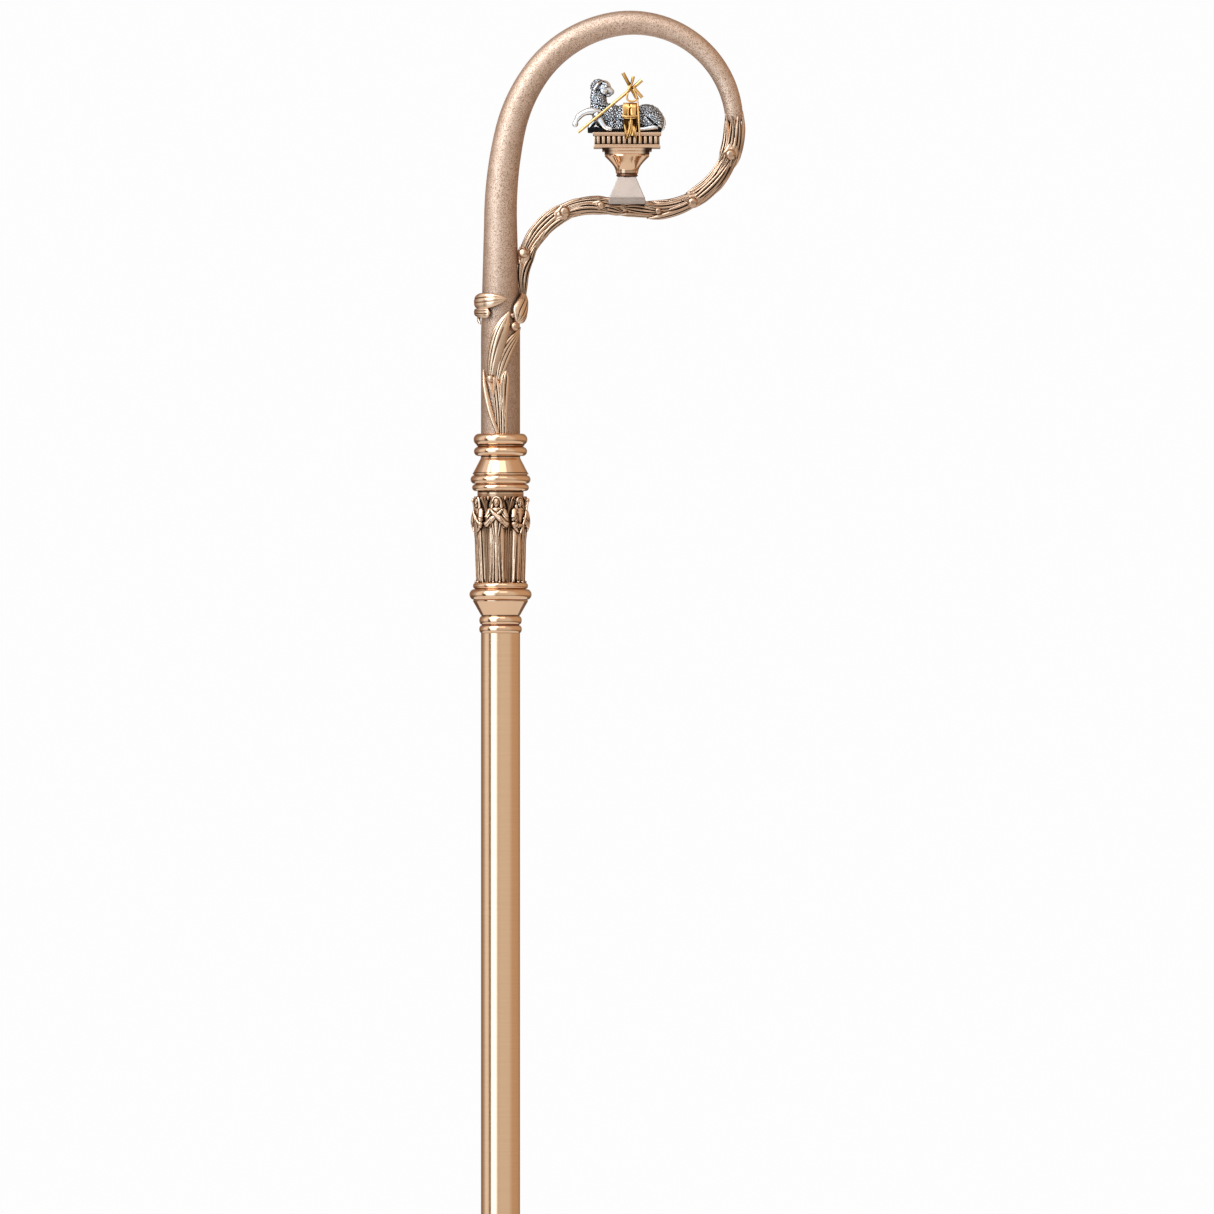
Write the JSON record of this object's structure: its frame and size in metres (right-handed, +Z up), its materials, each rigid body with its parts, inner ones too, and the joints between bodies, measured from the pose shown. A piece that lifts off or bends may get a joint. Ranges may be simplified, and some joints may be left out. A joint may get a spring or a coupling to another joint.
{
  "type": "crozier",
  "caption": "Bishop's crozier: foliate crook with a lamb on a pedestal, knop with robed figures, and a staff that unscrews into a head and two tubes.",
  "frame": {"origin": "centre of the foot tip's flat end face", "axes": "+Z up along the staff, the crook opens towards +X, its front faces -Y"},
  "size_m": [0.1778, 0.0404, 1.8309],
  "materials": {
    "polished_bronze": "polished",
    "stippled_bronze": "finely stippled satin",
    "satin_bronze": "satin",
    "patinated_bronze": "cast, dark patina in the recesses",
    "rose_bronze": "satin",
    "dark_ring": "darkened",
    "oxidised_silver": "cast, oxidised in the recesses",
    "yellow_gold": "gilded",
    "steel": "plain",
    "machined_brass": "machined",
    "washer_fibre": "vulcanised fibre"
  },
  "bodies": {
    "lower_staff": {"lower_joint_ring": "polished_bronze", "lower_socket": "machined_brass", "lower_tube": "satin_bronze", "foot_plug": "machined_brass", "ferrule": "polished_bronze", "foot_tip": "polished_bronze"},
    "mid_washer": {"mid_washer": "washer_fibre"},
    "upper_staff": {"upper_ring": "polished_bronze", "upper_socket": "machined_brass", "upper_tube": "satin_bronze", "upper_stud": "machined_brass", "upper_joint_ring": "polished_bronze"},
    "head_washer": {"head_washer": "washer_fibre"},
    "head": {"crook_tube": "stippled_bronze", "crook_plug": "machined_brass", "garland_right": "patinated_bronze", "garland_left": "patinated_bronze", "garland_berries": "polished_bronze", "stem_vine": "patinated_bronze", "stem_leaves": "patinated_bronze", "stem_berries": "polished_bronze", "pedestal_foot": "rose_bronze", "pedestal_ring": "dark_ring", "pedestal_cup": "polished_bronze", "abacus_lower": "polished_bronze", "abacus_upper": "polished_bronze", "plinth": "polished_bronze", "plinth_frieze": "polished_bronze", "pedestal_stud": "steel", "pedestal_nut": "steel", "lamb_base": "oxidised_silver", "lamb": "oxidised_silver", "cross_staff": "yellow_gold", "cross_arms": "yellow_gold", "cross_cord": "yellow_gold", "banner": "yellow_gold", "banner_rod": "yellow_gold", "top_collar": "polished_bronze", "collar_bead": "polished_bronze", "upper_cone": "polished_bronze", "drum_cap_ring": "polished_bronze", "drum_cap_bead": "polished_bronze", "figure_drum": "patinated_bronze", "figure_1": "patinated_bronze", "figure_2": "patinated_bronze", "figure_3": "patinated_bronze", "figure_4": "patinated_bronze", "figure_5": "patinated_bronze", "figure_6": "patinated_bronze", "drum_base_bead": "polished_bronze", "drum_base_ring": "polished_bronze", "lower_cone": "polished_bronze", "head_collar": "polished_bronze", "tie_rod": "steel", "tie_nut": "steel", "tie_washer": "steel", "head_stud": "machined_brass"}
  },
  "joints": [
    {"name": "mid_rise", "type": "slide", "parent": "lower_staff", "child": "mid_washer", "axis": [0, 0, 1], "range_m": [0, 0.01377]},
    {"name": "mid_turn", "type": "hinge", "parent": "mid_washer", "child": "upper_staff", "pos_m": [0, 0, 0.716], "axis": [0, 0, 1], "range_deg": [0, 990]},
    {"name": "head_rise", "type": "slide", "parent": "upper_staff", "child": "head_washer", "axis": [0, 0, 1], "range_m": [0, 0.01377]},
    {"name": "head_turn", "type": "hinge", "parent": "head_washer", "child": "head", "pos_m": [0, 0, 1.432], "axis": [0, 0, 1], "range_deg": [0, 990]}
  ],
  "couplings": [
    {"joint": "mid_rise", "follows": "mid_turn", "m_per_rad": 0.00079577},
    {"joint": "head_rise", "follows": "head_turn", "m_per_rad": 0.00079577}
  ]
}
